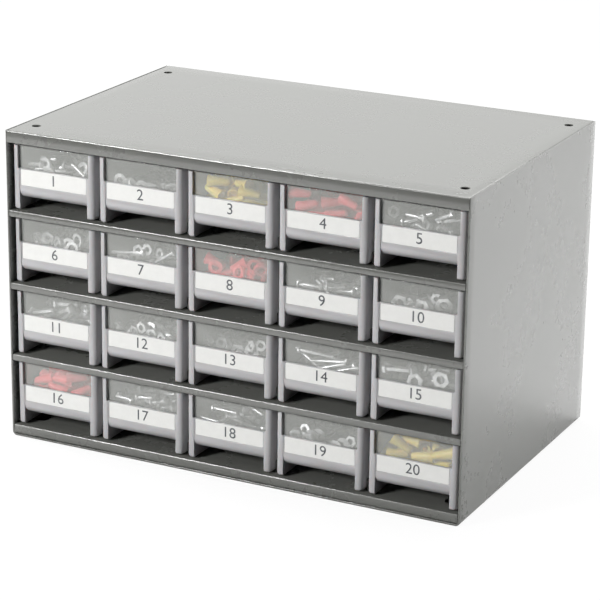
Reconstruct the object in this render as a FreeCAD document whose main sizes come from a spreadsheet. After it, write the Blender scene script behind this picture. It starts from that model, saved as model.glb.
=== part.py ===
import math
import os

import FreeCAD
import Part
import Sketcher

# Parts bin cabinet: a welded steel cabinet with drawers of grey plastic.
# Millimetres, +Z up, the front faces -Y, the origin is the middle of the footprint.

COLUMNS = 5
ROWS = 4
NEAR_SHARE = 0.01

DIMENSIONS = (
    ("cabinet_width", 431.8, "outside, left to right"),
    ("cabinet_depth", 279.4, "outside, front to back"),
    ("cabinet_height", 279.4, "outside, floor to top"),
    ("steel", 0.9, "sheet of every steel piece"),
    ("hem_depth", 12, "folded strip inside the wrapper's front and rear edges"),
    ("corner_radius", 1, "inside everything, at the two bottom corners"),
    ("weld_gap", 0.3, "between steel pieces that lie side by side"),
    ("lid_radius", 1.2, "outside of the top panel's bent edges"),
    ("top_band", 10.8, "height of the top panel's flanges"),
    ("bottom_band", 10.6, "floor to the floor shelf's upper face"),
    ("shelf_band", 5.9, "height of a shelf's flanges"),
    ("back_recess", 6.5, "rear edge of the cabinet to the back panel's inner face"),
    ("bolt_side", 15.6, "side of the cabinet to the bolt holes"),
    ("bolt_end", 24.8, "front or rear of the cabinet to the bolt holes"),
    ("bolt_hole", 8, "diameter"),
    ("access_hole", 16, "diameter, in the floor shelf over each bolt hole"),
    ("side_gap", 2.65, "hem to the nearest drawer"),
    ("drawer_gap", 4.7, "between two drawers"),
    ("guide_fit", 0.4, "between a guide and a drawer"),
    ("guide_height", 10, "above the shelf"),
    ("front_recess", 3.4, "front of the cabinet to the front of a drawer"),
    ("rear_fit", 0.3, "closed drawer to the back panel"),
    ("top_fit", 2.5, "drawer to the flange above it"),
    ("skid_height", 1.2, "under a drawer"),
    ("skid_width", 2, "across a skid"),
    ("skid_inset", 10, "side of a drawer to its skid"),
    ("plastic", 1.8, "walls of a drawer"),
    ("post_width", 6.7, "across a front post"),
    ("post_back", 1.9, "a front post's depth behind the pane's groove"),
    ("post_radius", 4, "outer front edge of a post"),
    ("window_relief", 1.5, "each post is this much narrower beside the window"),
    ("pane_setback", 2.6, "front of the posts to the pane"),
    ("pane_thickness", 1.4, "clear pane"),
    ("groove_depth", 1.5, "pane's groove in each post"),
    ("pane_fit", 0.1, "around the pane in its groove"),
    ("face_setback", 0.4, "front of the posts to the label holder"),
    ("label_margin", 1.2, "card to the post at each end"),
    ("label_height", 14, "card"),
    ("card_thickness", 0.3, "card"),
    ("label_seat", 0.5, "depth of the card's seat"),
    ("card_fit", 0.2, "around the card in its seat"),
    ("holder_margin", 0.8, "holder's edge above and below the card"),
    ("pull_radius", 8, "outside of the curled pull"),
    ("pull_bottom", 11, "above the shelf"),
    ("pull_flat", 3, "upright stretch between the curl and the label holder"),
    ("recess_depth", 16, "front of the posts to the head of the ramp behind the pull"),
    ("ramp_foot", 46, "front of the posts to the foot of the ramp"),
    ("recess_rise", 5, "finger recess above the middle of the curl"),
    ("stop_length", 34, "raised rear of a drawer, front to back"),
    ("overrun", 1, "cutting shapes past the faces they cut"),
)


class Size:
    """A length and the sheet expression that gives it."""

    def __init__(self, value, text):
        self.value = value
        self.text = text

    def __add__(self, other):
        return joined(self, "+", other, self.value + number(other))

    def __radd__(self, other):
        return joined(other, "+", self, number(other) + self.value)

    def __sub__(self, other):
        return joined(self, "-", other, self.value - number(other))

    def __rsub__(self, other):
        return joined(other, "-", self, number(other) - self.value)

    def __mul__(self, other):
        return joined(self, "*", other, self.value * number(other))

    def __rmul__(self, other):
        return joined(other, "*", self, number(other) * self.value)

    def __truediv__(self, other):
        return joined(self, "/", other, self.value / number(other))

    def __neg__(self):
        return Size(-self.value, "-" + self.text)


def number(thing):
    return thing.value if isinstance(thing, Size) else thing


def text(thing):
    return thing.text if isinstance(thing, Size) else str(thing)


def joined(left, sign, right, value):
    return Size(value, f"({text(left)} {sign} {text(right)})")


doc = FreeCAD.newDocument("parts_bin_cabinet")
dims = doc.addObject("Spreadsheet::Sheet", "dims")
for row, (alias, length, note) in enumerate(DIMENSIONS, start=1):
    dims.set(f"A{row}", str(length))
    dims.setAlias(f"A{row}", alias)
    dims.set(f"B{row}", note)
doc.recompute()


def size(alias):
    return Size(float(dims.get(alias)), "dims." + alias)


zero = Size(0, "0")
steel = size("steel")
overrun = size("overrun")
weld_gap = size("weld_gap")
plastic = size("plastic")

cabinet_depth = size("cabinet_depth")
cabinet_height = size("cabinet_height")
half_width = size("cabinet_width") / 2
hem = 2 * steel
back_inner = cabinet_depth - size("back_recess")
tray_radius = size("corner_radius") + steel
wrapper_radius = tray_radius + weld_gap + hem

drawer_span = size("cabinet_width") - 2 * (hem + size("side_gap"))
drawer_width = (drawer_span - (COLUMNS - 1) * size("drawer_gap")) / COLUMNS
bands = size("top_band") + size("bottom_band") + (ROWS - 1) * size("shelf_band")
opening_height = (cabinet_height - bands) / ROWS
drawer_top = opening_height - size("top_fit")
drawer_length = back_inner - size("rear_fit") - size("front_recess")


# Helpers


def bind(thing, **sizes):
    """Binds properties to the sheet; place_x and the like move the thing."""
    for name, value in sizes.items():
        path = name.replace("place_", "Placement.Base.")
        thing.setExpression(path, text(value))


def plane(body, role):
    return [item for item in body.Origin.OriginFeatures if item.Role == role][0]


def new_sketch(body, name, role, offset=0):
    """A sketch on one of the body's own planes, moved along the plane's normal."""
    drawing = body.newObject("Sketcher::SketchObject", name)
    drawing.AttachmentSupport = [(plane(body, role), "")]
    drawing.MapMode = "FlatFace"
    drawing.setExpression("AttachmentOffset.Base.z", text(offset))
    return drawing


def vec(point):
    return FreeCAD.Vector(number(point[0]), number(point[1]), 0)


def outline(drawing, points, arcs=None):
    """Draws a closed outline, each corner and radius bound to the sheet.
    Arcs maps the number of a corner to the centre and radius of the arc that starts there."""
    arcs = arcs or {}
    first = drawing.GeometryCount
    for index, point in enumerate(points):
        start = vec(point)
        end = vec(points[(index + 1) % len(points)])
        if index not in arcs:
            drawing.addGeometry(Part.LineSegment(start, end))
            continue
        drawing.addGeometry(short_arc(vec(arcs[index][0]), start, end))
    ends = [curve_ends(drawing.Geometry[first + index], point) for index, point in enumerate(points)]
    for index, point in enumerate(points):
        after = (index + 1) % len(points)
        here = first + index
        joint = Sketcher.Constraint("Coincident", here, ends[index][1], first + after, ends[after][0])
        drawing.addConstraint(joint)
        pin_point(drawing, here, ends[index][0], point)
        if index in arcs:
            pin_radius(drawing, here, arcs[index][1])


def short_arc(centre, start, end):
    """The arc of under half a turn between two points."""
    spoke = start - centre
    other = end - centre
    first = math.atan2(spoke.y, spoke.x)
    turn = (math.atan2(other.y, other.x) - first) % math.tau
    if turn > math.pi:
        first += turn
        turn = math.tau - turn
    ring = Part.Circle(centre, FreeCAD.Vector(0, 0, 1), spoke.Length)
    return Part.ArcOfCircle(ring, first, first + turn)


def curve_ends(curve, point):
    """The numbers of a curve's two ends, the one at the point first."""
    at_start = (curve.StartPoint - vec(point)).Length <= (curve.EndPoint - vec(point)).Length
    return (1, 2) if at_start else (2, 1)


def pin_point(drawing, edge, end, point):
    for kind, coordinate in zip(("DistanceX", "DistanceY"), point):
        slot = drawing.addConstraint(Sketcher.Constraint(kind, edge, end, number(coordinate)))
        if isinstance(coordinate, Size):
            drawing.setExpression(f"Constraints[{slot}]", text(coordinate))


def pin_radius(drawing, edge, radius):
    slot = drawing.addConstraint(Sketcher.Constraint("Radius", edge, number(radius)))
    drawing.setExpression(f"Constraints[{slot}]", text(radius))


def circle(drawing, centre, radius):
    edge = drawing.addGeometry(Part.Circle(vec(centre), FreeCAD.Vector(0, 0, 1), number(radius)))
    pin_point(drawing, edge, 3, centre)
    pin_radius(drawing, edge, radius)


def block(drawing, low, high):
    outline(drawing, (low, (high[0], low[1]), high, (low[0], high[1])))


def pad(drawing, length, backwards=False):
    """Grows along the sketch's normal, or against it when backwards."""
    return extrusion("PartDesign::Pad", drawing, length, backwards, symmetric=False)


def pocket(drawing, length, backwards=False, symmetric=False):
    """Cuts against the sketch's normal, or along it when backwards."""
    return extrusion("PartDesign::Pocket", drawing, length, backwards, symmetric)


def extrusion(kind, drawing, length, backwards, symmetric):
    body = drawing.getParentGeoFeatureGroup()
    before = body.Tip.Shape.Volume if body.Tip else 0
    feature = body.newObject(kind, drawing.Name + "_solid")
    feature.Profile = drawing
    feature.setExpression("Length", text(length))
    feature.Reversed = backwards
    if symmetric:
        feature.SideType = "Symmetric"
    body.Tip = feature
    doc.recompute()
    changed = feature.Shape.Volume - before
    if (changed <= 0) == (kind == "PartDesign::Pad"):
        raise RuntimeError(f"{drawing.Name} changed nothing")
    return feature


def new_body(label):
    body = doc.addObject("PartDesign::Body", label)
    body.Label = label
    bind(body, place_y=-cabinet_depth / 2)
    return body


def tray_points(half, bottom, top, radius):
    """Corners of an outline with its two lower corners rounded, and the arcs for them."""
    points = (
        (-half, top),
        (-half, bottom + radius),
        (-half + radius, bottom),
        (half - radius, bottom),
        (half, bottom + radius),
        (half, top),
    )
    arcs = {
        1: ((-half + radius, bottom + radius), radius),
        3: ((half - radius, bottom + radius), radius),
    }
    return points, arcs


def channel_points(half, bottom, top, radius, thickness):
    """An open U of one thickness: the outer outline down, across and up, then back along the inner one."""
    outer, arcs = tray_points(half, bottom, top, radius)
    inner, inner_arcs = tray_points(half - thickness, bottom + thickness, top, radius - thickness)
    points = outer + tuple(reversed(inner))
    before_last = len(points) - 2
    for start, arc in inner_arcs.items():
        arcs[before_last - start] = arc
    return points, arcs


def bolt_centres():
    for side in (-1, 1):
        for y in (size("bolt_end"), cabinet_depth - size("bolt_end")):
            yield side * (half_width - size("bolt_side")), y


# Cabinet


def make_wrapper():
    """Sides and bottom bent from one sheet, with a second layer folded in along the front and rear edges."""
    body = new_body("wrapper")
    skin = new_sketch(body, "wrapper_skin", "XZ_Plane")
    outline(skin, *channel_points(half_width, zero, cabinet_height, wrapper_radius, steel))
    pad(skin, cabinet_depth, backwards=True)
    hem_top = cabinet_height - size("top_band")
    hem_shape = channel_points(half_width - steel, steel, hem_top, wrapper_radius - steel, steel)
    for name, start in (("front_hem", 0), ("rear_hem", -(cabinet_depth - size("hem_depth")))):
        fold = new_sketch(body, name, "XZ_Plane", start)
        outline(fold, *hem_shape)
        pad(fold, size("hem_depth"), backwards=True)
    holes = new_sketch(body, "wrapper_holes", "XY_Plane")
    for centre in bolt_centres():
        circle(holes, centre, size("bolt_hole") / 2)
    pocket(holes, steel + overrun, backwards=True)


def make_top_panel():
    """A lid that drops in between the wrapper's sides; its back is left open for the back panel."""
    body = new_body("top_panel")
    half = half_width - steel - weld_gap
    plate = new_sketch(body, "lid", "XY_Plane", cabinet_height - size("top_band"))
    block(plate, (-half, zero), (half, cabinet_depth))
    pad(plate, size("top_band"))
    inside = new_sketch(body, "lid_inside", "XY_Plane", cabinet_height - size("top_band"))
    block(inside, (-half + steel, hem), (half - steel, cabinet_depth + overrun))
    pocket(inside, size("top_band") - steel, backwards=True)
    holes = new_sketch(body, "lid_holes", "XY_Plane", cabinet_height)
    for centre in bolt_centres():
        circle(holes, centre, size("bolt_hole") / 2)
    lid = pocket(holes, steel + overrun)
    near = overrun.value * NEAR_SHARE
    edges = []
    for index, edge in enumerate(lid.Shape.Edges, start=1):
        box = edge.BoundBox
        straight = edge.Curve.TypeId == "Part::GeomLine"
        at_top = box.ZMin > cabinet_height.value - near
        at_back = box.YMin > cabinet_depth.value - near
        if straight and at_top and not at_back:
            edges.append(f"Edge{index}")
    bend = body.newObject("PartDesign::Fillet", "lid_bend")
    bend.Base = (lid, edges)
    bind(bend, Radius=size("lid_radius"))
    body.Tip = bend


def make_back_panel():
    """A shallow tray set in from the rear, its edges turned back to the cabinet's rear edge."""
    body = new_body("back_panel")
    half = half_width - hem - weld_gap
    bottom = hem + weld_gap
    top = cabinet_height - steel
    plate = new_sketch(body, "back_plate", "XZ_Plane", -back_inner)
    outline(plate, *tray_points(half, bottom, top, tray_radius))
    pad(plate, size("back_recess"), backwards=True)
    inside = new_sketch(body, "back_inside", "XZ_Plane", -(back_inner + steel))
    outline(inside, *tray_points(half - steel, bottom + steel, top - steel, size("corner_radius")))
    pocket(inside, size("back_recess"))


def make_shelf(label, top, band, radius):
    """A plate with flanges turned down along its front and sides; the front one is folded double."""
    body = new_body(label)
    half = half_width - hem - weld_gap
    bottom = top - band
    plate = new_sketch(body, label + "_plate", "XZ_Plane")
    outline(plate, *tray_points(half, bottom, top, radius))
    pad(plate, back_inner, backwards=True)
    under = new_sketch(body, label + "_under", "XZ_Plane", -hem)
    block(under, (-half + steel, bottom - overrun), (half - steel, top - steel))
    pocket(under, cabinet_depth)
    return body


def shelf_top(row):
    """Upper face of the shelf that carries a row of drawers; the first row is the top one."""
    return cabinet_height - size("top_band") - row * opening_height - (row - 1) * size("shelf_band")


def make_floor_shelf():
    band = size("bottom_band") - hem - weld_gap
    body = make_shelf("floor_shelf", shelf_top(ROWS), band, tray_radius)
    holes = new_sketch(body, "access_holes", "XY_Plane", shelf_top(ROWS))
    for centre in bolt_centres():
        circle(holes, centre, size("access_hole") / 2)
    pocket(holes, steel + overrun)


def column_centre(column):
    """Middle of a column of drawers; the first one is at the left."""
    pitch = drawer_width + size("drawer_gap")
    return (column - (COLUMNS + 1) / 2) * pitch


def make_box(label, low, high):
    box = doc.addObject("Part::Box", label)
    bind(box, Length=high[0] - low[0], Width=high[1] - low[1], Height=high[2] - low[2])
    bind(box, place_x=low[0], place_y=low[1], place_z=low[2])
    return box


def make_guides():
    """Folded strips on a shelf: a channel between neighbours and an angle along each side."""
    front = size("hem_depth")
    rear = back_inner
    height = size("guide_height")
    strips = []
    for column in range(1, COLUMNS):
        middle = (column_centre(column) + column_centre(column + 1)) / 2
        half = size("drawer_gap") / 2 - size("guide_fit")
        name = f"guide_channel_{column}"
        outer = make_box(name + "_outer", (middle - half, front, zero), (middle + half, rear, height))
        inner = make_box(
            name + "_inner",
            (middle - half + steel, front - overrun, -overrun),
            (middle + half - steel, rear + overrun, height - steel),
        )
        strips.append(make_cut(name, outer, inner))
    wide = size("side_gap") - size("guide_fit")
    for name, left, hollow in (
        ("guide_angle_left", -half_width + hem, -overrun),
        ("guide_angle_right", half_width - hem - wide, steel),
    ):
        outer = make_box(name + "_outer", (left, front, zero), (left + wide, rear, height))
        inner = make_box(
            name + "_inner",
            (left + hollow, front - overrun, steel),
            (left + hollow + wide - steel + overrun, rear + overrun, height + overrun),
        )
        strips.append(make_cut(name, outer, inner))
    return strips


def make_cut(label, base, tool):
    cut = doc.addObject("Part::Cut", label)
    cut.Base = base
    cut.Tool = tool
    return cut


def make_group(label, pieces, x, y, z):
    """One node: a copy of the pieces, moved to its place in the cabinet."""
    group = doc.addObject("Part::Compound", label)
    group.Label = label
    group.Links = pieces
    bind(group, place_x=x, place_y=y, place_z=z)


# Drawers

face = size("face_setback")
pane_front = size("pane_setback")
pane_back = pane_front + size("pane_thickness") + 2 * size("pane_fit")
post_depth = pane_back + size("post_back")
post_half = drawer_width / 2 - size("post_width")
pull_middle = size("pull_bottom") + size("pull_radius")
recess_top = pull_middle + size("recess_rise")
ledge = recess_top + plastic
card_bottom = pull_middle + size("pull_flat") + size("holder_margin")
card_top = card_bottom + size("label_height")
holder_top = card_top + size("holder_margin")
card_half = post_half - size("label_margin")
stop_top = drawer_top + size("top_fit") + (size("shelf_band") - steel) / 2


def make_tub():
    """The moulded drawer: walls, two front posts, label holder, curled pull, raised rear and skids."""
    body = doc.addObject("PartDesign::Body", "tub")
    half = drawer_width / 2
    skid = size("skid_height")
    over_top = stop_top + overrun

    walls = new_sketch(body, "tub_walls", "XY_Plane", skid)
    rounding = size("post_radius")
    corners = (
        (half, rounding),
        (half, drawer_length),
        (-half, drawer_length),
        (-half, rounding),
        (-half + rounding, zero),
        (half - rounding, zero),
    )
    turns = {3: ((-half + rounding, rounding), rounding), 5: ((half - rounding, rounding), rounding)}
    outline(walls, corners, turns)
    pad(walls, drawer_top - skid)

    stop = new_sketch(body, "tub_stop", "XY_Plane", drawer_top)
    block(stop, (-half, drawer_length - size("stop_length")), (half, drawer_length))
    pad(stop, stop_top - drawer_top)

    inside = new_sketch(body, "tub_inside", "YZ_Plane")
    ramp_head = size("recess_depth") + plastic
    ramp_foot = size("ramp_foot") + plastic
    low_back = drawer_length - plastic
    floor = skid + plastic
    corners = (
        (post_depth, over_top),
        (post_depth, ledge),
        (ramp_head, ledge),
        (ramp_foot, floor),
        (low_back, floor),
        (low_back, over_top),
    )
    outline(inside, corners)
    pocket(inside, drawer_width - 2 * plastic, symmetric=True)

    # From the top down: the window, the pane's ledge, the holder's two faces, the curl and the finger recess,
    # which runs back under the ramp.
    front = new_sketch(body, "tub_front", "YZ_Plane")
    radius = size("pull_radius")
    corners = (
        (-overrun, over_top),
        (post_depth, over_top),
        (post_depth, ledge),
        (face + plastic, ledge),
        (face + plastic, holder_top),
        (face, holder_top),
        (face, pull_middle),
        (face + radius, size("pull_bottom")),
        (face + radius, size("pull_bottom") + plastic),
        (face + plastic, pull_middle),
        (face + plastic, recess_top),
        (size("recess_depth"), recess_top),
        (size("ramp_foot"), skid),
        (size("ramp_foot"), -overrun),
        (-overrun, -overrun),
    )
    curl = (face + radius, pull_middle)
    outline(front, corners, {6: (curl, radius), 8: (curl, radius - plastic)})
    pocket(front, 2 * post_half, symmetric=True)

    window = new_sketch(body, "tub_window", "XZ_Plane")
    wide = post_half + size("window_relief")
    block(window, (-wide, holder_top), (wide, drawer_top + overrun))
    pocket(window, pane_front)

    groove = new_sketch(body, "tub_groove", "XZ_Plane", -pane_front)
    wide = post_half + size("groove_depth")
    block(groove, (-wide, ledge), (wide, drawer_top + overrun))
    pocket(groove, pane_back - pane_front)

    seat = new_sketch(body, "tub_seat", "XZ_Plane", -face)
    wide = card_half + size("card_fit")
    block(seat, (-wide, card_bottom - size("card_fit")), (wide, card_top + size("card_fit")))
    pocket(seat, size("label_seat"))

    skids = new_sketch(body, "tub_skids", "XY_Plane")
    for side in (-1, 1):
        centre = side * (half - size("skid_inset"))
        half_skid = size("skid_width") / 2
        block(skids, (centre - half_skid, ramp_foot), (centre + half_skid, low_back))
    pad(skids, skid)
    return [body]


def make_window():
    """The clear pane in its grooves, and the card in its seat."""
    half = post_half + size("groove_depth") - size("pane_fit")
    front = pane_front + size("pane_fit")
    back = front + size("pane_thickness")
    pane = make_box("pane", (-half, front, ledge + size("pane_fit")), (half, back, drawer_top))
    back = face + size("label_seat")
    front = back - size("card_thickness")
    card = make_box("card", (-card_half, front, card_bottom), (card_half, back, card_top))
    return [pane, card]


def cells():
    for row in range(1, ROWS + 1):
        for column in range(1, COLUMNS + 1):
            yield row, column


make_wrapper()
make_top_panel()
make_back_panel()
for row in range(1, ROWS):
    make_shelf(f"shelf_{row}", shelf_top(row), size("shelf_band"), steel)
make_floor_shelf()
guides = make_guides()
for row in range(1, ROWS + 1):
    make_group(f"guides_row_{row}", guides, 0, -cabinet_depth / 2, shelf_top(row))
tub = make_tub()
window = make_window()
drawer_front = size("front_recess") - cabinet_depth / 2
for row, column in cells():
    make_group(f"tub_r{row}c{column}", tub, column_centre(column), drawer_front, shelf_top(row))
    make_group(f"window_r{row}c{column}", window, column_centre(column), drawer_front, shelf_top(row))
doc.recompute()

# Checks and files

for thing in doc.Objects:
    if "Invalid" in thing.State or "Error" in thing.State:
        raise RuntimeError(f"{thing.Label} failed: {thing.State}")

nodes = ["wrapper", "top_panel", "back_panel", "floor_shelf"]
nodes += [f"shelf_{row}" for row in range(1, ROWS)]
nodes += [f"guides_row_{row}" for row in range(1, ROWS + 1)]
for row, column in cells():
    nodes += [f"tub_r{row}c{column}", f"window_r{row}c{column}"]

os.makedirs("parts", exist_ok=True)
for node in nodes:
    shape = doc.getObjectsByLabel(node)[0].Shape
    if shape.isNull() or not shape.isValid():
        raise RuntimeError(f"{node} has no valid shape")
for node in nodes:
    shape = doc.getObjectsByLabel(node)[0].Shape
    shape.exportStep(f"parts/{node}.step")

travel = drawer_length - size("stop_length") + size("front_recess") - hem
print("drawer travel to its stop", round(travel.value, 3))
print("drawer", round(drawer_width.value, 3), round(drawer_length.value, 3), round(drawer_top.value, 3))
print(len(nodes), "nodes written")
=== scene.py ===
import math
import random

import bmesh
import bpy
from mathutils import Matrix, Vector


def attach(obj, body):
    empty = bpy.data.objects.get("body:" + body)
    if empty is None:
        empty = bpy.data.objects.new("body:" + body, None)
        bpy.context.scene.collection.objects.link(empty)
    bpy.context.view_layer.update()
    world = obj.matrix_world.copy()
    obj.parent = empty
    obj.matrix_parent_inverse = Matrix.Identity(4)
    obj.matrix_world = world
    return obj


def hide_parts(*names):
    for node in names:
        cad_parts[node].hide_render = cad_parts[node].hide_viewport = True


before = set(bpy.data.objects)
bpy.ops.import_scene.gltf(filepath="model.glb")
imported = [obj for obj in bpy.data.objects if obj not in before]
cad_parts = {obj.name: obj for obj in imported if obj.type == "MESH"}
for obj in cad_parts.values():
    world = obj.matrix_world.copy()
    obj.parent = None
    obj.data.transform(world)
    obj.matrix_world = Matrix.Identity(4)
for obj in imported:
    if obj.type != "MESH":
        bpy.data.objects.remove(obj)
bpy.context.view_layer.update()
mm = 0.001  # sizes below are in millimetres
print("frame loaded:", len(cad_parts), "nodes")

rows, columns = 4, 5
columnPitch = 85.52
shelfTops = (208.525, 142.55, 76.575, 10.6)
drawerFront = -136.3


# Leaves only these objects selected, with the first one active
def choose(*things):
    bpy.ops.object.select_all(action="DESELECT")
    for thing in things:
        thing.select_set(True)
    bpy.context.view_layer.objects.active = things[0]


# Opens this object for editing with nothing picked
def openMesh(thing):
    choose(thing)
    bpy.ops.object.mode_set(mode="EDIT")
    bpy.ops.mesh.select_all(action="DESELECT")


def closeMesh():
    bpy.ops.object.mode_set(mode="OBJECT")


# Picks the edges or faces that pass the test, which gets their points in mm and, for a face, its normal
def pick(kind, test):
    bpy.ops.mesh.select_mode(type=kind)
    bpy.ops.mesh.select_all(action="DESELECT")
    mesh = bpy.context.edit_object.data
    shape = bmesh.from_edit_mesh(mesh)
    for part in {"EDGE": shape.edges, "FACE": shape.faces}[kind]:
        normal = part.normal if kind == "FACE" else None
        if test([corner.co / mm for corner in part.verts], normal):
            part.select_set(True)
    shape.select_flush_mode()
    bmesh.update_edit_mesh(mesh)


def near(value, target, slack=0.02):
    return abs(value - target) < slack


def middle(points):
    return sum(points, Vector()) / len(points)


# A cube primitive between two corners, with its place in its mesh
def block(name, low, high):
    bpy.ops.object.select_all(action="DESELECT")
    centre = [(a + b) / 2 * mm for a, b in zip(low, high)]
    bpy.ops.mesh.primitive_cube_add(size=1, location=centre)
    thing = bpy.context.object
    thing.name = name
    thing.scale = [(b - a) * mm for a, b in zip(low, high)]
    bpy.ops.object.transform_apply(location=True, rotation=True, scale=True)
    return thing


# An upright rod, for drilling holes
def rod(name, x, y, low, high, radius, sides=32):
    bpy.ops.object.select_all(action="DESELECT")
    place = (x * mm, y * mm, (low + high) / 2 * mm)
    bpy.ops.mesh.primitive_cylinder_add(vertices=sides, radius=radius * mm, depth=(high - low) * mm, location=place)
    thing = bpy.context.object
    thing.name = name
    bpy.ops.object.transform_apply(location=True, rotation=True, scale=True)
    return thing


def applyModifier(thing, kind, **settings):
    choose(thing)
    modifier = thing.modifiers.new(kind.lower(), kind)
    for name, value in settings.items():
        setattr(modifier, name, value)
    bpy.ops.object.modifier_apply(modifier=modifier.name)


def cut(thing, *tools):
    for tool in tools:
        applyModifier(thing, "BOOLEAN", operation="DIFFERENCE", solver="EXACT", object=tool)
        bpy.data.objects.remove(tool)


def softenEdges(thing, width, segments=2, angle=40):
    applyModifier(
        thing, "BEVEL", width=width * mm, segments=segments, limit_method="ANGLE",
        angle_limit=math.radians(angle), use_clamp_overlap=True,
    )


def smooth(thing, angle=38):
    choose(thing)
    bpy.ops.object.shade_smooth_by_angle(angle=math.radians(angle))


def join(name, *things):
    choose(*things)
    bpy.ops.object.join()
    joined = bpy.context.object
    joined.name = name
    return joined


# A copy with its own mesh, moved in its mesh
def copyOf(thing, name, shift):
    twin = thing.copy()
    twin.data = thing.data.copy()
    twin.name = name
    bpy.context.scene.collection.objects.link(twin)
    twin.data.transform(Matrix.Translation(Vector(shift) * mm))
    return twin


def paint(thing, material):
    thing.data.materials.clear()
    thing.data.materials.append(material)


def linear(hexColour, alpha=1.0):
    channels = [int(hexColour[i:i + 2], 16) / 255 for i in (1, 3, 5)]
    return [c / 12.92 if c <= 0.04045 else ((c + 0.055) / 1.055) ** 2.4 for c in channels] + [alpha]


# Adds a node; a socket is given a value or the socket that feeds it
def addNode(tree, kind, sockets={}, **options):
    made = tree.nodes.new("ShaderNode" + kind)
    for option, value in options.items():
        setattr(made, option, value)
    for socket, value in sockets.items():
        if isinstance(value, bpy.types.NodeSocket):
            tree.links.new(value, made.inputs[socket])
        else:
            made.inputs[socket].default_value = value
    return made


def newMaterial(name):
    material = bpy.data.materials.new(name)
    material.use_nodes = True
    material.node_tree.nodes.clear()
    return material, material.node_tree


# Colour and roughness drift by the same slow noise, and a finer noise gives the bump.
# The slow noise has fine octaves too, so that its drift doesn't show as bands
def mottled(name, look):
    material, tree = newMaterial(name)
    place = addNode(tree, "TexCoord").outputs["Object"]
    slow = addNode(tree, "TexNoise", {
        "Vector": place, "Scale": 1000 / look["driftSize"], "Detail": 7.0, "Roughness": 0.68,
    })
    fine = addNode(tree, "TexNoise", {"Vector": place, "Scale": 1000 / look["grainSize"], "Detail": 2.0})
    colour = addNode(tree, "ValToRGB", {"Fac": slow.outputs["Fac"]})
    noiseLow, noiseHigh = 0.3, 0.7
    colour.color_ramp.elements[0].position = noiseLow
    colour.color_ramp.elements[1].position = noiseHigh
    colour.color_ramp.elements[0].color = linear(look["dark"])
    colour.color_ramp.elements[1].color = linear(look["light"])
    rough = addNode(tree, "MapRange", {
        "Value": slow.outputs["Fac"], "From Min": noiseLow, "From Max": noiseHigh,
        "To Min": look["roughness"][0], "To Max": look["roughness"][1],
    })
    bump = addNode(tree, "Bump", {
        "Height": fine.outputs["Fac"], "Strength": look["bump"], "Distance": look["grainDepth"] * mm,
    })
    shader = addNode(tree, "BsdfPrincipled", {
        "Base Color": colour.outputs["Color"], "Roughness": rough.outputs["Result"],
        "Normal": bump.outputs["Normal"], "IOR": look.get("ior", 1.5), "Metallic": look.get("metallic", 0.0),
        "Coat Weight": look.get("coat", 0.0), "Coat Roughness": look.get("coatRoughness", 0.1),
        "Subsurface Weight": look.get("glow", 0.0), "Subsurface Scale": 0.002, "Alpha": look.get("alpha", 1.0),
    })
    addNode(tree, "OutputMaterial", {"Surface": shader.outputs["BSDF"]})
    return material


# Baked grey enamel, sprayed on sheet steel: an even semi-gloss skin with a faint orange peel
enamel = mottled("greyEnamel", {
    "dark": "#646561", "light": "#666763", "driftSize": 120, "roughness": (0.25, 0.30), "ior": 1.6,
    "grainSize": 3.0, "grainDepth": 0.02, "bump": 0.04, "coat": 0.5, "coatRoughness": 0.1,
})

# Injection-moulded polystyrene: pale grey, slightly waxy, with soft highlights and faint flow marks
styrene = mottled("mouldedPolystyrene", {
    "dark": "#B2B1B2", "light": "#B9B8BA", "driftSize": 35, "roughness": (0.30, 0.40), "ior": 1.59, "glow": 0.05,
    "grainSize": 1.2, "grainDepth": 0.02, "bump": 0.2,
})

# Card cut from index stock: matt, warm white, with a faint fibre
cardStock = mottled("indexCard", {
    "dark": "#ECECE9", "light": "#F2F2EF", "driftSize": 8, "roughness": (0.75, 0.85),
    "grainSize": 0.8, "grainDepth": 0.02, "bump": 0.3,
})

# Marker ink that has sunk into the card: dark grey, uneven where the strokes ran dry
markerInk = mottled("markerInk", {
    "dark": "#3A3C40", "light": "#6A6C70", "driftSize": 2.5, "roughness": (0.6, 0.7),
    "grainSize": 0.8, "grainDepth": 0.01, "bump": 0.2,
})

# Clear styrene sheet, scuffed by use: a grey-green veil that lets half of what lies behind through
clearStyrene = mottled("clearStyrene", {
    "dark": "#E2E4DF", "light": "#ECEEE9", "driftSize": 25, "roughness": (0.12, 0.2), "ior": 1.59, "alpha": 0.25,
    "grainSize": 6, "grainDepth": 0.02, "bump": 0.05, "coat": 0.4,
})

# Zinc-plated steel of loose hardware: bright, slightly clouded, each piece catching the light its own way
zinc = mottled("zincPlatedSteel", {
    "dark": "#B9BABD", "light": "#F4F4F5", "driftSize": 7, "roughness": (0.30, 0.48), "metallic": 0.85,
    "grainSize": 1.5, "grainDepth": 0.05, "bump": 0.3,
})

# Moulded vinyl of the twist-on caps: saturated but soft, with a satin skin
redVinyl = mottled("redVinyl", {
    "dark": "#F2505A", "light": "#FF7A80", "driftSize": 9, "roughness": (0.35, 0.5), "glow": 0.15,
    "grainSize": 1.5, "grainDepth": 0.05, "bump": 0.3,
})
yellowVinyl = mottled("yellowVinyl", {
    "dark": "#F8D648", "light": "#FFEE8A", "driftSize": 9, "roughness": (0.35, 0.5), "glow": 0.15,
    "grainSize": 1.5, "grainDepth": 0.05, "bump": 0.3,
})
print("materials made")


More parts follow.
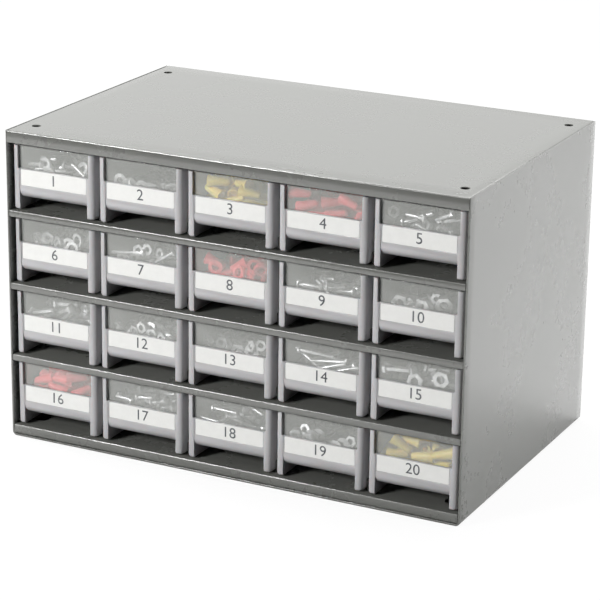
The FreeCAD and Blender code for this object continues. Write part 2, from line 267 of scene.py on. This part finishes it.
cabinet = {
    "half": 215.9, "front": -139.7, "rear": 139.7, "height": 279.4, "sheet": 0.9,
    "hemDepth": 12.0, "hemTop": 268.6, "cornerRadius": 4.0, "foldRadius": 0.4,
    "holeX": 200.3, "holeY": 114.9, "holeRadius": 4.0, "midHeight": 140, "upperPart": 200, "shortEdge": 0.95,
}
holeSpots = [(x * cabinet["holeX"], y * cabinet["holeY"]) for x in (-1, 1) for y in (-1, 1)]


# Drills the four bolt holes through a sheet
def drill(sheet, low, high, radius):
    cut(sheet, *[rod("drill", x, y, low, high, radius) for x, y in holeSpots])


# The U of the two sides and the bottom, folded double along its front and rear edges
def makeWrapper(c):
    skin = block("wrapper_sheet", (-c["half"], c["front"], 0), (c["half"], c["rear"], c["height"]))
    openMesh(skin)
    pick("FACE", lambda points, normal: normal.z > 0.9 or abs(normal.y) > 0.9)
    bpy.ops.mesh.delete(type="FACE")
    pick("EDGE", lambda points, normal: all(near(p.z, 0) and near(abs(p.x), c["half"]) for p in points))
    bpy.ops.mesh.bevel(offset=c["cornerRadius"] * mm, segments=6, affect="EDGES")
    for spot, direction in (
        ((0, c["front"] + c["hemDepth"], 0), (0, 1, 0)),
        ((0, c["rear"] - c["hemDepth"], 0), (0, 1, 0)),
        ((0, 0, c["hemTop"]), (0, 0, 1)),
    ):
        bpy.ops.mesh.select_all(action="SELECT")
        bpy.ops.mesh.bisect(plane_co=[v * mm for v in spot], plane_no=direction)
    closeMesh()
    applyModifier(skin, "SOLIDIFY", thickness=c["sheet"] * mm, offset=-1, use_even_offset=True)
    openMesh(skin)

    def isHem(points, normal):
        m = middle(points)
        inward = normal.dot(Vector((-m.x, 0, c["midHeight"] - m.z))) > 0 and abs(normal.y) < 0.5
        flatTop = abs(normal.z) > 0.9 and m.z > c["upperPart"]
        return inward and not flatTop and abs(m.y) > c["rear"] - c["hemDepth"] and m.z < c["hemTop"]

    pick("FACE", isHem)
    bpy.ops.mesh.extrude_region_shrink_fatten(TRANSFORM_OT_shrink_fatten={"value": c["sheet"] * mm})
    # The front and rear edges, without the short ones across the sheet
    pick("EDGE", lambda points, normal: (
        all(near(abs(p.y), c["rear"]) for p in points) and (points[0] - points[1]).length > c["shortEdge"]
    ))
    bpy.ops.mesh.bevel(offset=c["foldRadius"] * mm, segments=3, affect="EDGES", clamp_overlap=True)
    closeMesh()
    drill(skin, -2, 4, c["holeRadius"])
    smooth(skin)
    return skin


# A plate with its front and side edges folded down, the front one hemmed double
def makePan(name, half, rear, low, high, bend, lowerCorner=0.0):
    c = cabinet
    pan = block(name, (-half, c["front"], low), (half, rear, high))
    openMesh(pan)
    if lowerCorner:
        pick("EDGE", lambda points, normal: all(near(p.z, low) and near(abs(p.x), half) for p in points))
        bpy.ops.mesh.bevel(offset=lowerCorner * mm, segments=4, affect="EDGES")
    pick("FACE", lambda points, normal: normal.z < -0.9 or normal.y > 0.9)
    bpy.ops.mesh.delete(type="FACE")
    pick("EDGE", lambda points, normal: (
        all(near(p.z, high) for p in points) and not all(near(p.y, rear) for p in points)
    ))
    bpy.ops.mesh.bevel(offset=bend * mm, segments=4, affect="EDGES")
    closeMesh()
    applyModifier(pan, "SOLIDIFY", thickness=c["sheet"] * mm, offset=-1, use_even_offset=True)
    openMesh(pan)
    pick("FACE", lambda points, normal: (
        normal.y > 0.9 and all(near(p.y, c["front"] + c["sheet"], 0.1) for p in points)
    ))
    bpy.ops.mesh.extrude_region_shrink_fatten(TRANSFORM_OT_shrink_fatten={"value": c["sheet"] * mm})
    pick("EDGE", lambda points, normal: all(near(p.y, c["front"]) and near(p.z, low) for p in points))
    bpy.ops.mesh.bevel(offset=c["foldRadius"] * mm, segments=3, affect="EDGES", clamp_overlap=True)
    closeMesh()
    return pan


wrapper = makeWrapper(cabinet)

topSettings = {"half": 214.7, "rear": cabinet["rear"], "low": cabinet["hemTop"], "high": 279.4, "bend": 1.2}
topPanel = makePan("top_sheet", **topSettings)
drill(topPanel, 270, 285, cabinet["holeRadius"])
smooth(topPanel)
steel = [(wrapper, "wrapper"), (topPanel, "top_panel")]

shelfSettings = {"half": 213.8, "rear": 133.2, "bend": 0.8}
shelfBand = 5.9
shelf = makePan("shelf_sheet_1", low=shelfTops[0] - shelfBand, high=shelfTops[0], **shelfSettings)
smooth(shelf)
steel.append((shelf, "shelf_1"))
for number in (2, 3):
    lower = copyOf(shelf, f"shelf_sheet_{number}", (0, 0, shelfTops[number - 1] - shelfTops[0]))
    steel.append((lower, f"shelf_{number}"))

floorSettings = {"low": 2.1, "lowerCorner": 1.9}
accessRadius = 8.0
floorShelf = makePan("floor_sheet", high=shelfTops[3], **floorSettings, **shelfSettings)
drill(floorShelf, 5, 15, accessRadius)
smooth(floorShelf)
steel.append((floorShelf, "floor_shelf"))

for piece, nodeName in steel:
    paint(piece, enamel)
    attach(piece, "cabinet")
    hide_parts(nodeName)
for nodeName in ["back_panel"] + [f"guides_row_{row}" for row in range(1, rows + 1)]:
    paint(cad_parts[nodeName], enamel)
print("steel cabinet made")


drawer = {
    "half": 40.41, "length": 269.2, "bottom": 1.2, "top": 57.575, "wall": 1.8, "bottomRadius": 1.8,
    "rearFrom": 235.2, "rearRise": 5.0, "postInner": 33.71, "postDepth": 6.1, "postRadius": 4.0,
    "rearRadius": 2.0, "ledge": 25.8, "rampHead": 17.8, "rampFoot": 47.8, "labelTop": 37.6, "labelFront": 0.4,
    "curlCentre": 19.0, "curlRadius": 8.0, "seatDepth": 0.5, "skidX": 30.41, "edge": 0.3, "thinEdge": 0.25,
    "paneInner": 35.21, "paneFrom": 2.6, "paneTo": 4.2, "paneGap": 0.1,
    "cardHalf": 32.71, "cardLow": 22.6, "cardHigh": 37.0, "cardThickness": 0.3, "cardCorner": 0.8, "cardGap": 0.2,
}
# How far the cutting blocks stick out past the tub, and how far they lap into each other
cutter = {"front": -5, "below": -5, "top": 90, "lap": 0.1, "ledgeLap": 0.01, "pullLap": 0.2}


# Slides the picked edges of a block, so that the face between them slopes
def slide(thing, test, shift):
    openMesh(thing)
    pick("EDGE", test)
    bpy.ops.transform.translate(value=[v * mm for v in shift])
    closeMesh()
    return thing


# Cuts the inside from the floor up to the ledge, and leaves the ramp at its front
def lowCavity(d, inner, rear):
    floor = d["bottom"] + d["wall"]
    tool = block("cavity", (-inner, d["rampHead"], floor), (inner, rear, d["ledge"] + cutter["ledgeLap"]))

    def atFoot(points, normal):
        return all(near(p.z, floor) and near(p.y, d["rampHead"]) for p in points)

    return slide(tool, atFoot, (0, d["rampFoot"] - d["rampHead"], 0))


# Cuts the finger recess under the ramp, open to the front and below
def underRamp(d):
    top = d["ledge"] - d["wall"]
    head, foot = d["rampHead"] - d["wall"], d["rampFoot"] - d["wall"]
    tool = block("recess", (-d["postInner"], cutter["front"], d["bottom"]), (d["postInner"], head, top))

    def atFoot(points, normal):
        return all(near(p.z, d["bottom"]) and near(p.y, head) for p in points)

    slide(tool, atFoot, (0, foot - head, 0))
    openMesh(tool)
    pick("FACE", lambda points, normal: normal.z < -0.9)
    bpy.ops.mesh.extrude_region_move(TRANSFORM_OT_translate={"value": (0, 0, cutter["below"] * mm)})
    closeMesh()
    return tool


# Tub: walls and posts from one block, then the pull, the ledge and the skids. Its front stands at y 0 on z 0
def makeTub(d):
    shell = block("tub", (-d["half"], 0, d["bottom"]), (d["half"], d["length"], d["top"]))
    openMesh(shell)
    for y, radius, segments in ((0, d["postRadius"], 6), (d["length"], d["rearRadius"], 4)):
        pick("EDGE", lambda points, normal: (
            all(near(p.y, y) for p in points) and abs(points[0].z - points[1].z) > 1
        ))
        bpy.ops.mesh.bevel(offset=radius * mm, segments=segments, affect="EDGES")
    pick("EDGE", lambda points, normal: all(near(p.z, d["bottom"]) for p in points))
    bpy.ops.mesh.bevel(offset=d["bottomRadius"] * mm, segments=4, affect="EDGES")
    bpy.ops.mesh.select_all(action="SELECT")
    bpy.ops.mesh.bisect(plane_co=(0, d["rearFrom"] * mm, 0), plane_no=(0, 1, 0))
    pick("FACE", lambda points, normal: normal.z > 0.9 and middle(points).y > d["rearFrom"])
    bpy.ops.mesh.extrude_region_move(TRANSFORM_OT_translate={"value": (0, 0, d["rearRise"] * mm)})
    closeMesh()
    inner = d["half"] - d["wall"]
    rear = d["length"] - d["wall"]
    front, below, top, lap = cutter["front"], cutter["below"], cutter["top"], cutter["lap"]
    post, groove = d["postInner"], d["paneInner"]
    cut(
        shell,
        block("cavity", (-inner, d["postDepth"], d["ledge"]), (inner, rear, top)),
        lowCavity(d, inner, rear),
        block("notch", (-post, front, d["ledge"]), (post, d["postDepth"] + lap, top)),
        block("front", (-post, front, below), (post, d["labelFront"] + d["wall"] - cutter["pullLap"], top)),
        underRamp(d),
        block("relief", (-groove, front, d["labelTop"]), (groove, d["paneFrom"] + lap, top)),
        block("groove", (-groove, d["paneFrom"], d["ledge"]), (groove, d["paneTo"], top)),
    )
    softenEdges(shell, d["edge"])

    # The pull: a strip for the label that curls under, spun from its lower edge, then thickened
    bpy.ops.object.select_all(action="DESELECT")
    height = d["labelTop"] - d["curlCentre"]
    centre = (0, d["labelFront"] * mm, (d["curlCentre"] + height / 2) * mm)
    bpy.ops.mesh.primitive_plane_add(size=1, location=centre, rotation=(math.pi / 2, 0, 0))
    pull = bpy.context.object
    pull.scale = ((post + lap) * 2 * mm, height * mm, 1)
    bpy.ops.object.transform_apply(location=True, rotation=True, scale=True)
    openMesh(pull)
    pick("EDGE", lambda points, normal: all(near(p.z, d["curlCentre"]) for p in points))
    bpy.ops.mesh.spin(
        steps=10, angle=-math.pi / 2, axis=(1, 0, 0),
        center=(0, (d["labelFront"] + d["curlRadius"]) * mm, d["curlCentre"] * mm))
    closeMesh()
    applyModifier(pull, "SOLIDIFY", thickness=d["wall"] * mm, offset=-1, use_even_offset=True)
    seatBack = d["labelFront"] + d["seatDepth"]
    cut(pull, block("seat", (-d["cardHalf"], front, d["cardLow"]), (d["cardHalf"], seatBack, d["cardHigh"])))
    softenEdges(pull, d["thinEdge"])

    skids = []
    for side in (-1, 1):
        x = side * d["skidX"]
        skid = block("skid", (x - 1, d["rampFoot"], 0), (x + 1, d["length"] - d["wall"], d["bottom"] + 0.5))
        softenEdges(skid, d["edge"])
        skids.append(skid)
    tub = join("tub", shell, pull, *skids)
    smooth(tub)
    return tub


def makePane(d):
    gap = d["paneGap"]
    low = (-d["paneInner"] + gap, d["paneFrom"] + gap, d["ledge"] + gap)
    pane = block("pane", low, (d["paneInner"] - gap, d["paneTo"] - gap, d["top"]))
    softenEdges(pane, d["thinEdge"])
    smooth(pane)
    return pane


def makeCard(d):
    gap = d["cardGap"]
    front = d["labelFront"] + gap
    low = (-d["cardHalf"] + gap, front, d["cardLow"] + gap)
    card = block("card", low, (d["cardHalf"] - gap, front + d["cardThickness"], d["cardHigh"] - gap))
    openMesh(card)
    pick("EDGE", lambda points, normal: abs(points[0].y - points[1].y) > d["cardThickness"] / 2)
    bpy.ops.mesh.bevel(offset=d["cardCorner"] * mm, segments=4, affect="EDGES")
    closeMesh()
    smooth(card)
    return card


numberSettings = {"height": 13.5, "lift": 0.06, "sink": 0.03, "extrude": 0.02}


# A plain number, made a mesh before it is moved onto the card
def makeNumber(text, d, s):
    bpy.ops.object.select_all(action="DESELECT")
    bpy.ops.object.text_add()
    number = bpy.context.object
    number.data.body = text
    number.data.align_x = "CENTER"
    number.data.align_y = "CENTER"
    number.data.size = s["height"] * mm
    number.data.extrude = s["extrude"] * mm
    number.data.resolution_u = 4
    bpy.ops.object.convert(target="MESH")
    number = bpy.context.object
    y = d["labelFront"] + d["cardGap"] - s["lift"] + s["sink"]
    place = (0, y * mm, (d["cardLow"] + d["cardHigh"]) / 2 * mm)
    number.data.transform(Matrix.Translation(place) @ Matrix.Rotation(math.pi / 2, 4, "X"))
    return number


# Where a drawer's own zero stands in the cabinet
def drawerSpot(row, column):
    return (column - 3) * columnPitch, drawerFront, shelfTops[row - 1]


tub, pane, card = makeTub(drawer), makePane(drawer), makeCard(drawer)
paint(tub, styrene)
paint(pane, clearStyrene)
paint(card, cardStock)
for row in range(1, rows + 1):
    for column in range(1, columns + 1):
        body = f"drawer_r{row}c{column}"
        spot = drawerSpot(row, column)
        number = makeNumber(str((row - 1) * columns + column), drawer, numberSettings)
        paint(number, markerInk)
        number.name = f"{body}_number"
        number.data.transform(Matrix.Translation(Vector(spot) * mm))
        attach(number, body)
        for model, part, nodeName, finish in (
            (tub, "tub", f"tub_r{row}c{column}", "grey_plastic"),
            (pane, "pane", f"window_r{row}c{column}", "clear_plastic"),
            (card, "card", f"window_r{row}c{column}", None),
        ):
            piece = copyOf(model, f"{body}_{part}", spot)
            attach(piece, body)
            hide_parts(nodeName)
for model in (tub, pane, card):
    bpy.data.objects.remove(model)
print("drawers made")


# Shares of the shank's radius, or of the head's radius and height
screwShape = {"pointInset": 0.35, "point": 0.5, "headSide": 0.6, "domeInset": 0.35, "dome": 0.4}


# Hardware that the drawers hold, each kind modelled once, lying on its side or flat, centred on its own middle
def makeScrew(length, shank, head, headHeight, sides=8):
    f = screwShape
    bpy.ops.object.select_all(action="DESELECT")
    bpy.ops.mesh.primitive_cylinder_add(
        vertices=sides, radius=shank * mm, depth=length * mm, rotation=(0, math.pi / 2, 0))
    screw = bpy.context.object
    bpy.ops.object.transform_apply(location=True, rotation=True, scale=True)
    openMesh(screw)
    pick("FACE", lambda points, normal: normal.x < -0.9)
    bpy.ops.mesh.inset(thickness=shank * f["pointInset"] * mm)
    bpy.ops.transform.translate(value=(-shank * f["point"] * mm, 0, 0))
    pick("FACE", lambda points, normal: normal.x > 0.9)
    bpy.ops.mesh.extrude_region_move(TRANSFORM_OT_translate={"value": (0, 0, 0)})
    bpy.ops.transform.resize(value=(1, head / shank, head / shank), center_override=(length / 2 * mm, 0, 0))
    bpy.ops.mesh.extrude_region_move(TRANSFORM_OT_translate={"value": (headHeight * f["headSide"] * mm, 0, 0)})
    bpy.ops.mesh.inset(thickness=head * f["domeInset"] * mm)
    bpy.ops.transform.translate(value=(headHeight * f["dome"] * mm, 0, 0))
    closeMesh()
    screw.data.transform(Matrix.Translation((-headHeight / 2 * mm, 0, 0)))
    smooth(screw, 50)
    return screw


def makeRing(outer, inner, thickness, sides):
    ring = rod("ring", 0, 0, -thickness / 2, thickness / 2, outer, sides)
    cut(ring, rod("bore", 0, 0, -thickness, thickness, inner, 10))
    smooth(ring, 35)
    return ring


# The first two are shares of the mouth's and the tip's radius, the flare is a scale, the rest are in mm
capShape = {"neck": 0.86, "tipRound": 0.45, "flare": 1.16, "flareLength": 1.5, "lip": 1.2, "hollow": 5}


# A twist-on cap: a blunt cone, flared and hollow at its mouth
def makeCap(mouth, tip, length):
    f = capShape
    bpy.ops.object.select_all(action="DESELECT")
    bpy.ops.mesh.primitive_cone_add(
        vertices=10, radius1=mouth * f["neck"] * mm, radius2=tip * mm, depth=length * mm, rotation=(0, math.pi / 2, 0))
    cap = bpy.context.object
    bpy.ops.object.transform_apply(location=True, rotation=True, scale=True)
    openMesh(cap)
    pick("FACE", lambda points, normal: normal.x > 0.9)
    bpy.ops.mesh.inset(thickness=tip * f["tipRound"] * mm)
    bpy.ops.transform.translate(value=(tip * f["tipRound"] * mm, 0, 0))
    pick("FACE", lambda points, normal: normal.x < -0.9)
    bpy.ops.mesh.extrude_region_move(TRANSFORM_OT_translate={"value": (-f["flareLength"] * mm, 0, 0)})
    bpy.ops.transform.resize(value=(1, f["flare"], f["flare"]), center_override=(-length / 2 * mm, 0, 0))
    bpy.ops.mesh.extrude_region_move(TRANSFORM_OT_translate={"value": (-f["flareLength"] * mm, 0, 0)})
    bpy.ops.mesh.inset(thickness=f["lip"] * mm)
    bpy.ops.mesh.extrude_region_move(TRANSFORM_OT_translate={"value": (f["hollow"] * mm, 0, 0)})
    closeMesh()
    smooth(cap, 40)
    return cap


# Kind: its model, half length, half width, height, and how far it may tip in degrees
hardware = {
    "smallScrew": (makeScrew(14, 1.7, 3.6, 2.6), 8.5, 3.4, 5.2, 14),
    "longScrew": (makeScrew(30, 1.6, 3.4, 2.4), 16.5, 3.2, 5.0, 9),
    "bolt": (makeScrew(20, 2.4, 5.0, 3.8, 6), 12.0, 4.6, 7.5, 12),
    "nut": (makeRing(5.2, 2.5, 4.0, 6), 4.9, 4.9, 4.4, 35),
    "largeNut": (makeRing(7.4, 3.7, 5.6, 6), 7.0, 7.0, 6.0, 30),
    "washer": (makeRing(6.0, 2.8, 1.3, 14), 5.6, 5.6, 2.4, 30),
    "ring": (makeRing(6.2, 3.6, 3.6, 12), 5.8, 5.8, 4.4, 40),
    "cap": (makeCap(5.4, 3.0, 14), 8.5, 5.0, 9.5, 25),
}
hold = {
    "half": 37.6, "front": 4.8, "ledgeEnd": 17.9, "rear": 262.0, "cell": 1.5, "ledge": 25.9,
    "rampSlope": 0.76, "floor": 3.1, "roof": 56.0, "pane": 4.4, "lean": 6,
    "moundHalf": 38.4, "moundFrom": 18.2, "moundTo": 267.2, "moundGrid": (14, 46), "moundRun": 30,
    "waveSize": (25, 70), "wavePhase": (0, 6.3), "swell": 0.035, "fullTurn": 6.28,
    "paneHalf": 33.4, "mapLow": (-34.5, 26), "mapSize": (69, 31),
}


# Fills one drawer: a low mound, then loose pieces dropped one by one onto what is already there
def fillDrawer(name, kinds, material, level, count, pressed, crestHeight, seed):
    b = hold
    chance = random.Random(seed)
    across = int(2 * b["half"] / b["cell"]) + 1
    along = int((b["rear"] - b["front"]) / b["cell"]) + 1
    waves = [
        (chance.uniform(*b["waveSize"]), chance.uniform(*b["wavePhase"]), chance.uniform(-1, 1)) for i in range(5)
    ]

    # The inner floor: the ramp behind the ledge, then the flat bottom
    def bottom(y):
        return max(b["floor"], b["ledge"] - max(y - b["ledgeEnd"], 0) * b["rampSlope"])

    def moundHeight(x, y):
        rise = min(max((y - b["ledgeEnd"]) / b["moundRun"], 0), 1)
        ripple = sum(math.sin((y + turn * x) * b["fullTurn"] / size + phase) for size, phase, turn in waves)
        swell = ripple * level * b["swell"]
        crest = b["floor"] + (level - b["floor"]) * (0.82 + 0.18 * rise * rise * (3 - 2 * rise)) + swell * rise
        return max(crest, bottom(y) + 0.6)

    heights = []
    for j in range(along):
        y = b["front"] + j * b["cell"]
        onLedge = y < b["ledgeEnd"]
        heights.append([
            b["ledge"] if onLedge else moundHeight(-b["half"] + i * b["cell"], y) for i in range(across)
        ])
    heap = bmesh.new()
    bpy.ops.object.select_all(action="DESELECT")
    length = b["moundTo"] - b["moundFrom"]
    countX, countY = b["moundGrid"]
    centre = (0, (b["moundFrom"] + length / 2) * mm, 0)
    bpy.ops.mesh.primitive_grid_add(x_subdivisions=countX, y_subdivisions=countY, size=1, location=centre)
    mound = bpy.context.object
    mound.scale = (2 * b["moundHalf"] * mm, length * mm, 1)
    bpy.ops.object.transform_apply(location=True, rotation=True, scale=True)
    for corner in mound.data.vertices:
        corner.co.z = moundHeight(corner.co.x / mm, corner.co.y / mm) * mm
    openMesh(mound)
    bpy.ops.mesh.select_mode(type="EDGE")
    bpy.ops.mesh.select_all(action="SELECT")
    bpy.ops.mesh.region_to_loop()
    bpy.ops.mesh.extrude_edges_move(TRANSFORM_OT_translate={"value": (0, 0, 0)})
    bpy.ops.mesh.edge_face_add()
    closeMesh()
    for corner in mound.data.vertices:
        if corner.select:
            corner.co.z = bottom(corner.co.y / mm) * mm
    heap.from_mesh(mound.data)
    bpy.data.objects.remove(mound)

    # Adds a copy of the model, moved back where it would come through the pane
    def addPiece(model, turn):
        nearest = min((turn @ corner.co).y for corner in model.data.vertices)
        turn = Matrix.Translation((0, max(b["pane"] * mm - nearest, 0), 0)) @ turn
        start = len(heap.verts)
        heap.from_mesh(model.data)
        heap.verts.ensure_lookup_table()
        for corner in heap.verts[start:]:
            corner.co = turn @ corner.co

    # Finds the cells of a height map under a turned oblong, with the map's first cell at the corner low
    def footprint(grid, low, spot, reach, yaw, halfLength, halfWidth):
        first = [int((spot[a] - reach[a] - low[a]) / b["cell"]) for a in (0, 1)]
        last = [int((spot[a] + reach[a] - low[a]) / b["cell"]) for a in (0, 1)]
        cells = []
        for j in range(first[1], last[1] + 1):
            for k in range(first[0], last[0] + 1):
                dx, dy = low[0] + k * b["cell"] - spot[0], low[1] + j * b["cell"] - spot[1]
                u, v = dx * math.cos(yaw) + dy * math.sin(yaw), dy * math.cos(yaw) - dx * math.sin(yaw)
                if abs(u) <= halfLength and abs(v) <= halfWidth and 0 <= j < len(grid) and 0 <= k < len(grid[0]):
                    cells.append((j, k))
        return cells

    placed = 0
    for i in range(count * 3):
        if placed >= count:
            break
        model, halfLength, halfWidth, height, tip = hardware[chance.choice(kinds)]
        yaw = chance.uniform(0, math.pi * 2)
        c, s = abs(math.cos(yaw)), abs(math.sin(yaw))
        reach = (halfLength * c + halfWidth * s, halfLength * s + halfWidth * c)
        x = chance.uniform(-b["half"] + reach[0], b["half"] - reach[0])
        y = chance.uniform(b["front"] + reach[1], b["rear"] - reach[1])
        cells = footprint(heights, (-b["half"], b["front"]), (x, y), reach, yaw, halfLength, halfWidth)
        if not cells:
            continue
        under = sorted(heights[j][k] for j, k in cells)
        base = under[int(len(under) * 0.85)]
        if base + height > b["roof"]:
            continue
        for j, k in cells:
            heights[j][k] = max(heights[j][k], base + height * 0.75)
        addPiece(model, (
            Matrix.Translation(Vector((x, y, base + height / 2)) * mm)
            @ Matrix.Rotation(yaw, 4, "Z")
            @ Matrix.Rotation(math.radians(chance.uniform(-tip, tip)), 4, "Y")
            @ Matrix.Rotation(math.radians(chance.uniform(-tip, tip)), 4, "X")
        ))
        placed += 1

    # The pieces nearest the window lean on its pane, so here the map lies along the pane and grows backwards
    mapWidth, mapHeight = (int(size / b["cell"]) + 1 for size in b["mapSize"])
    depths = [[0.0] * mapWidth for j in range(mapHeight)]
    for i in range(pressed):
        model, halfLength, halfWidth, height, tip = hardware[chance.choice(kinds)]
        yaw = chance.uniform(-0.7, 0.7) + chance.choice((0, math.pi))
        c, s = abs(math.cos(yaw)), abs(math.sin(yaw))
        reach = (halfLength * c + halfWidth * s, halfLength * s + halfWidth * c)
        x = chance.uniform(-b["paneHalf"] + reach[0], b["paneHalf"] - reach[0])
        crest = crestHeight + 4 * math.sin(x / 9 + waves[0][1])
        z = b["ledge"] + reach[1] + max(crest - b["ledge"] - 2 * reach[1], 0.5) * chance.random() ** 0.8
        if z + reach[1] > b["roof"]:
            continue
        cells = footprint(depths, b["mapLow"], (x, z), reach, yaw, halfLength, halfWidth)
        if not cells:
            continue
        under = sorted(depths[j][k] for j, k in cells)
        base = under[int(len(under) * 0.8)]
        if base > b["lean"]:
            continue
        for j, k in cells:
            depths[j][k] = max(depths[j][k], base + height * 0.8)
        addPiece(model, (
            Matrix.Translation(Vector((x, b["pane"] + base + height / 2, z)) * mm)
            @ Matrix.Rotation(-yaw, 4, "Y")
            @ Matrix.Rotation(math.pi / 2, 4, "X")
            @ Matrix.Rotation(math.radians(chance.uniform(-tip, tip)), 4, "Y")
            @ Matrix.Rotation(math.radians(chance.uniform(-tip, tip)) / 2, 4, "X")
        ))
    shape = bpy.data.meshes.new(name)
    heap.to_mesh(shape)
    heap.free()
    filling = bpy.data.objects.new(name, shape)
    bpy.context.scene.collection.objects.link(filling)
    paint(filling, material)
    smooth(filling, 45)
    return filling


# What each drawer holds: kinds, finish, height of the mound in mm, loose pieces, pieces at the pane,
# and the crest of those in mm
silver, red, yellow = zinc, redVinyl, yellowVinyl
fillings = [
    [(["smallScrew", "washer"], silver, 32, 90, 60, 52), (["washer", "nut"], silver, 26, 60, 20, 44),
     (["cap"], yellow, 32, 60, 44, 54), (["cap"], red, 36, 70, 80, 56),
     (["smallScrew", "nut"], silver, 31, 80, 60, 53)],
    [(["ring", "nut"], silver, 31, 90, 30, 51), (["longScrew", "nut"], silver, 28, 70, 20, 50),
     (["cap", "ring"], red, 32, 70, 60, 54), (["smallScrew", "longScrew"], silver, 29, 80, 50, 51),
     (["largeNut", "nut"], silver, 29, 70, 22, 50)],
    [(["bolt"], silver, 30, 70, 26, 52), (["nut"], silver, 28, 90, 30, 48),
     (["largeNut", "nut"], silver, 28, 70, 22, 50), (["longScrew"], silver, 28, 80, 28, 50),
     (["bolt", "largeNut"], silver, 29, 70, 26, 52)],
    [(["cap"], red, 36, 70, 80, 56), (["bolt", "smallScrew"], silver, 29, 80, 32, 51),
     (["longScrew"], silver, 29, 90, 28, 51), (["washer", "nut"], silver, 27, 70, 26, 48),
     (["cap"], yellow, 36, 70, 80, 56)],
]
for row in range(1, rows + 1):
    for column in range(1, columns + 1):
        kinds, finish, level, count, pressed, crest = fillings[row - 1][column - 1]
        body = f"drawer_r{row}c{column}"
        seed = row * 10 + column
        filling = fillDrawer(f"{body}_contents", kinds, finish, level, count, pressed, crest, seed)
        filling.data.transform(Matrix.Translation(Vector(drawerSpot(row, column)) * mm))
        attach(filling, body)
for kind in hardware.values():
    bpy.data.objects.remove(kind[0])
print("drawers filled")


lampSettings = {
    # name: place, aim, size in metres, power in watts
    "frontKey": ((-1.11, -1.93, 1.04), (0, 0, 0.14), 0.5, 57),
    "topKey": ((-0.3, 0.9, 2.4), (0, 0, 0.2), 2.2, 82),
    "keyLeft": ((-2.0, 0.1, 1.4), (0, 0, 0.1), 0.4, 34),
    "rightFill": ((2.6, 0.6, 1.0), (0, 0, 0.12), 1.8, 56),
}


# The turn that points a lamp or the camera at its target
def aimAt(place, target, roll=0.0):
    forward = (Vector(target) - Vector(place)).normalized()
    right = forward.cross(Vector((0, 0, 1))).normalized()
    up = right.cross(forward)
    c, s = math.cos(roll), math.sin(roll)
    right, up = right * c + up * s, up * c - right * s
    return Matrix((right, up, -forward)).transposed().to_euler()


for name, (place, aim, size, power) in lampSettings.items():
    lamp = bpy.data.lights.new(name, "AREA")
    lamp.size = size
    lamp.energy = power
    holder = bpy.data.objects.new(name, lamp)
    holder.location = place
    holder.rotation_euler = aimAt(place, aim)
    bpy.context.scene.collection.objects.link(holder)

bpy.ops.object.select_all(action="DESELECT")
bpy.ops.mesh.primitive_plane_add(size=12, location=(0, 5.0, 0))
floor = bpy.context.object
floor.name = "floor"
bpy.ops.object.transform_apply(location=True, rotation=True, scale=True)
# Matt white paper sweep: the camera sees it nearly burnt out, and the object's shadow stays faint
floorMaterial, tree = newMaterial("whiteSweep")
rays = addNode(tree, "LightPath").outputs
shown = addNode(tree, "Math", {0: rays["Is Camera Ray"], 1: rays["Is Glossy Ray"]}, operation="MAXIMUM")
shown = addNode(tree, "Math", {0: shown.outputs[0], 1: rays["Is Transmission Ray"]}, operation="MAXIMUM")
tone = addNode(tree, "MapRange", {"Value": shown.outputs[0], "To Min": 0.12, "To Max": 0.9})
paper = addNode(tree, "BsdfDiffuse", {"Color": tone.outputs["Result"]})
glow = addNode(tree, "Emission", {"Color": linear("#FFFFFF"), "Strength": 1.0})
share = addNode(tree, "Math", {0: rays["Is Camera Ray"], 1: 0.93}, operation="MULTIPLY")
mix = addNode(tree, "MixShader", {0: share.outputs[0], 1: paper.outputs[0], 2: glow.outputs[0]})
addNode(tree, "OutputMaterial", {"Surface": mix.outputs[0]})
paint(floor, floorMaterial)

world = bpy.data.worlds.new("studio")
bpy.context.scene.world = world
world.use_nodes = True
tree = world.node_tree
tree.nodes.clear()
# A white backdrop stands behind and beside, and the room in front is dark. The camera sees white all round
path = addNode(tree, "LightPath").outputs
direction = addNode(tree, "SeparateXYZ", {0: addNode(tree, "TexCoord").outputs["Generated"]})
backdrop = addNode(tree, "MapRange", {
    "Value": direction.outputs["Y"], "From Min": -0.35, "From Max": 0.1, "To Min": 0.04, "To Max": 1.0,
}, interpolation_type="SMOOTHSTEP")
soft = addNode(tree, "MapRange", {"Value": path["Is Diffuse Ray"], "To Min": 1.0, "To Max": 0.12})
seen = addNode(tree, "Math", {0: backdrop.outputs[0], 1: soft.outputs[0]}, operation="MULTIPLY")
strength = addNode(tree, "Math", {0: seen.outputs[0], 1: path["Is Camera Ray"]}, operation="MAXIMUM")
sky = addNode(tree, "Background", {"Color": linear("#FFFFFF"), "Strength": strength.outputs[0]})
addNode(tree, "OutputWorld", {"Surface": sky.outputs[0]})

cameraSettings = {
    "place": (0.93330, -1.88207, 0.81989), "target": (0.001156, -0.005824, 0.121991), "roll": 0.78, "lens": 149.96,
}
cameraData = bpy.data.cameras.new("camera")
cameraData.lens = cameraSettings["lens"]
cameraData.sensor_width = 36
cameraData.clip_end = 50
camera = bpy.data.objects.new("camera", cameraData)
camera.location = cameraSettings["place"]
roll = math.radians(cameraSettings["roll"])
camera.rotation_euler = aimAt(cameraSettings["place"], cameraSettings["target"], roll)
bpy.context.scene.collection.objects.link(camera)
bpy.context.scene.camera = camera
bpy.context.scene.view_settings.view_transform = "Standard"
print("stage, light and camera set")

bpy.context.view_layer.update()
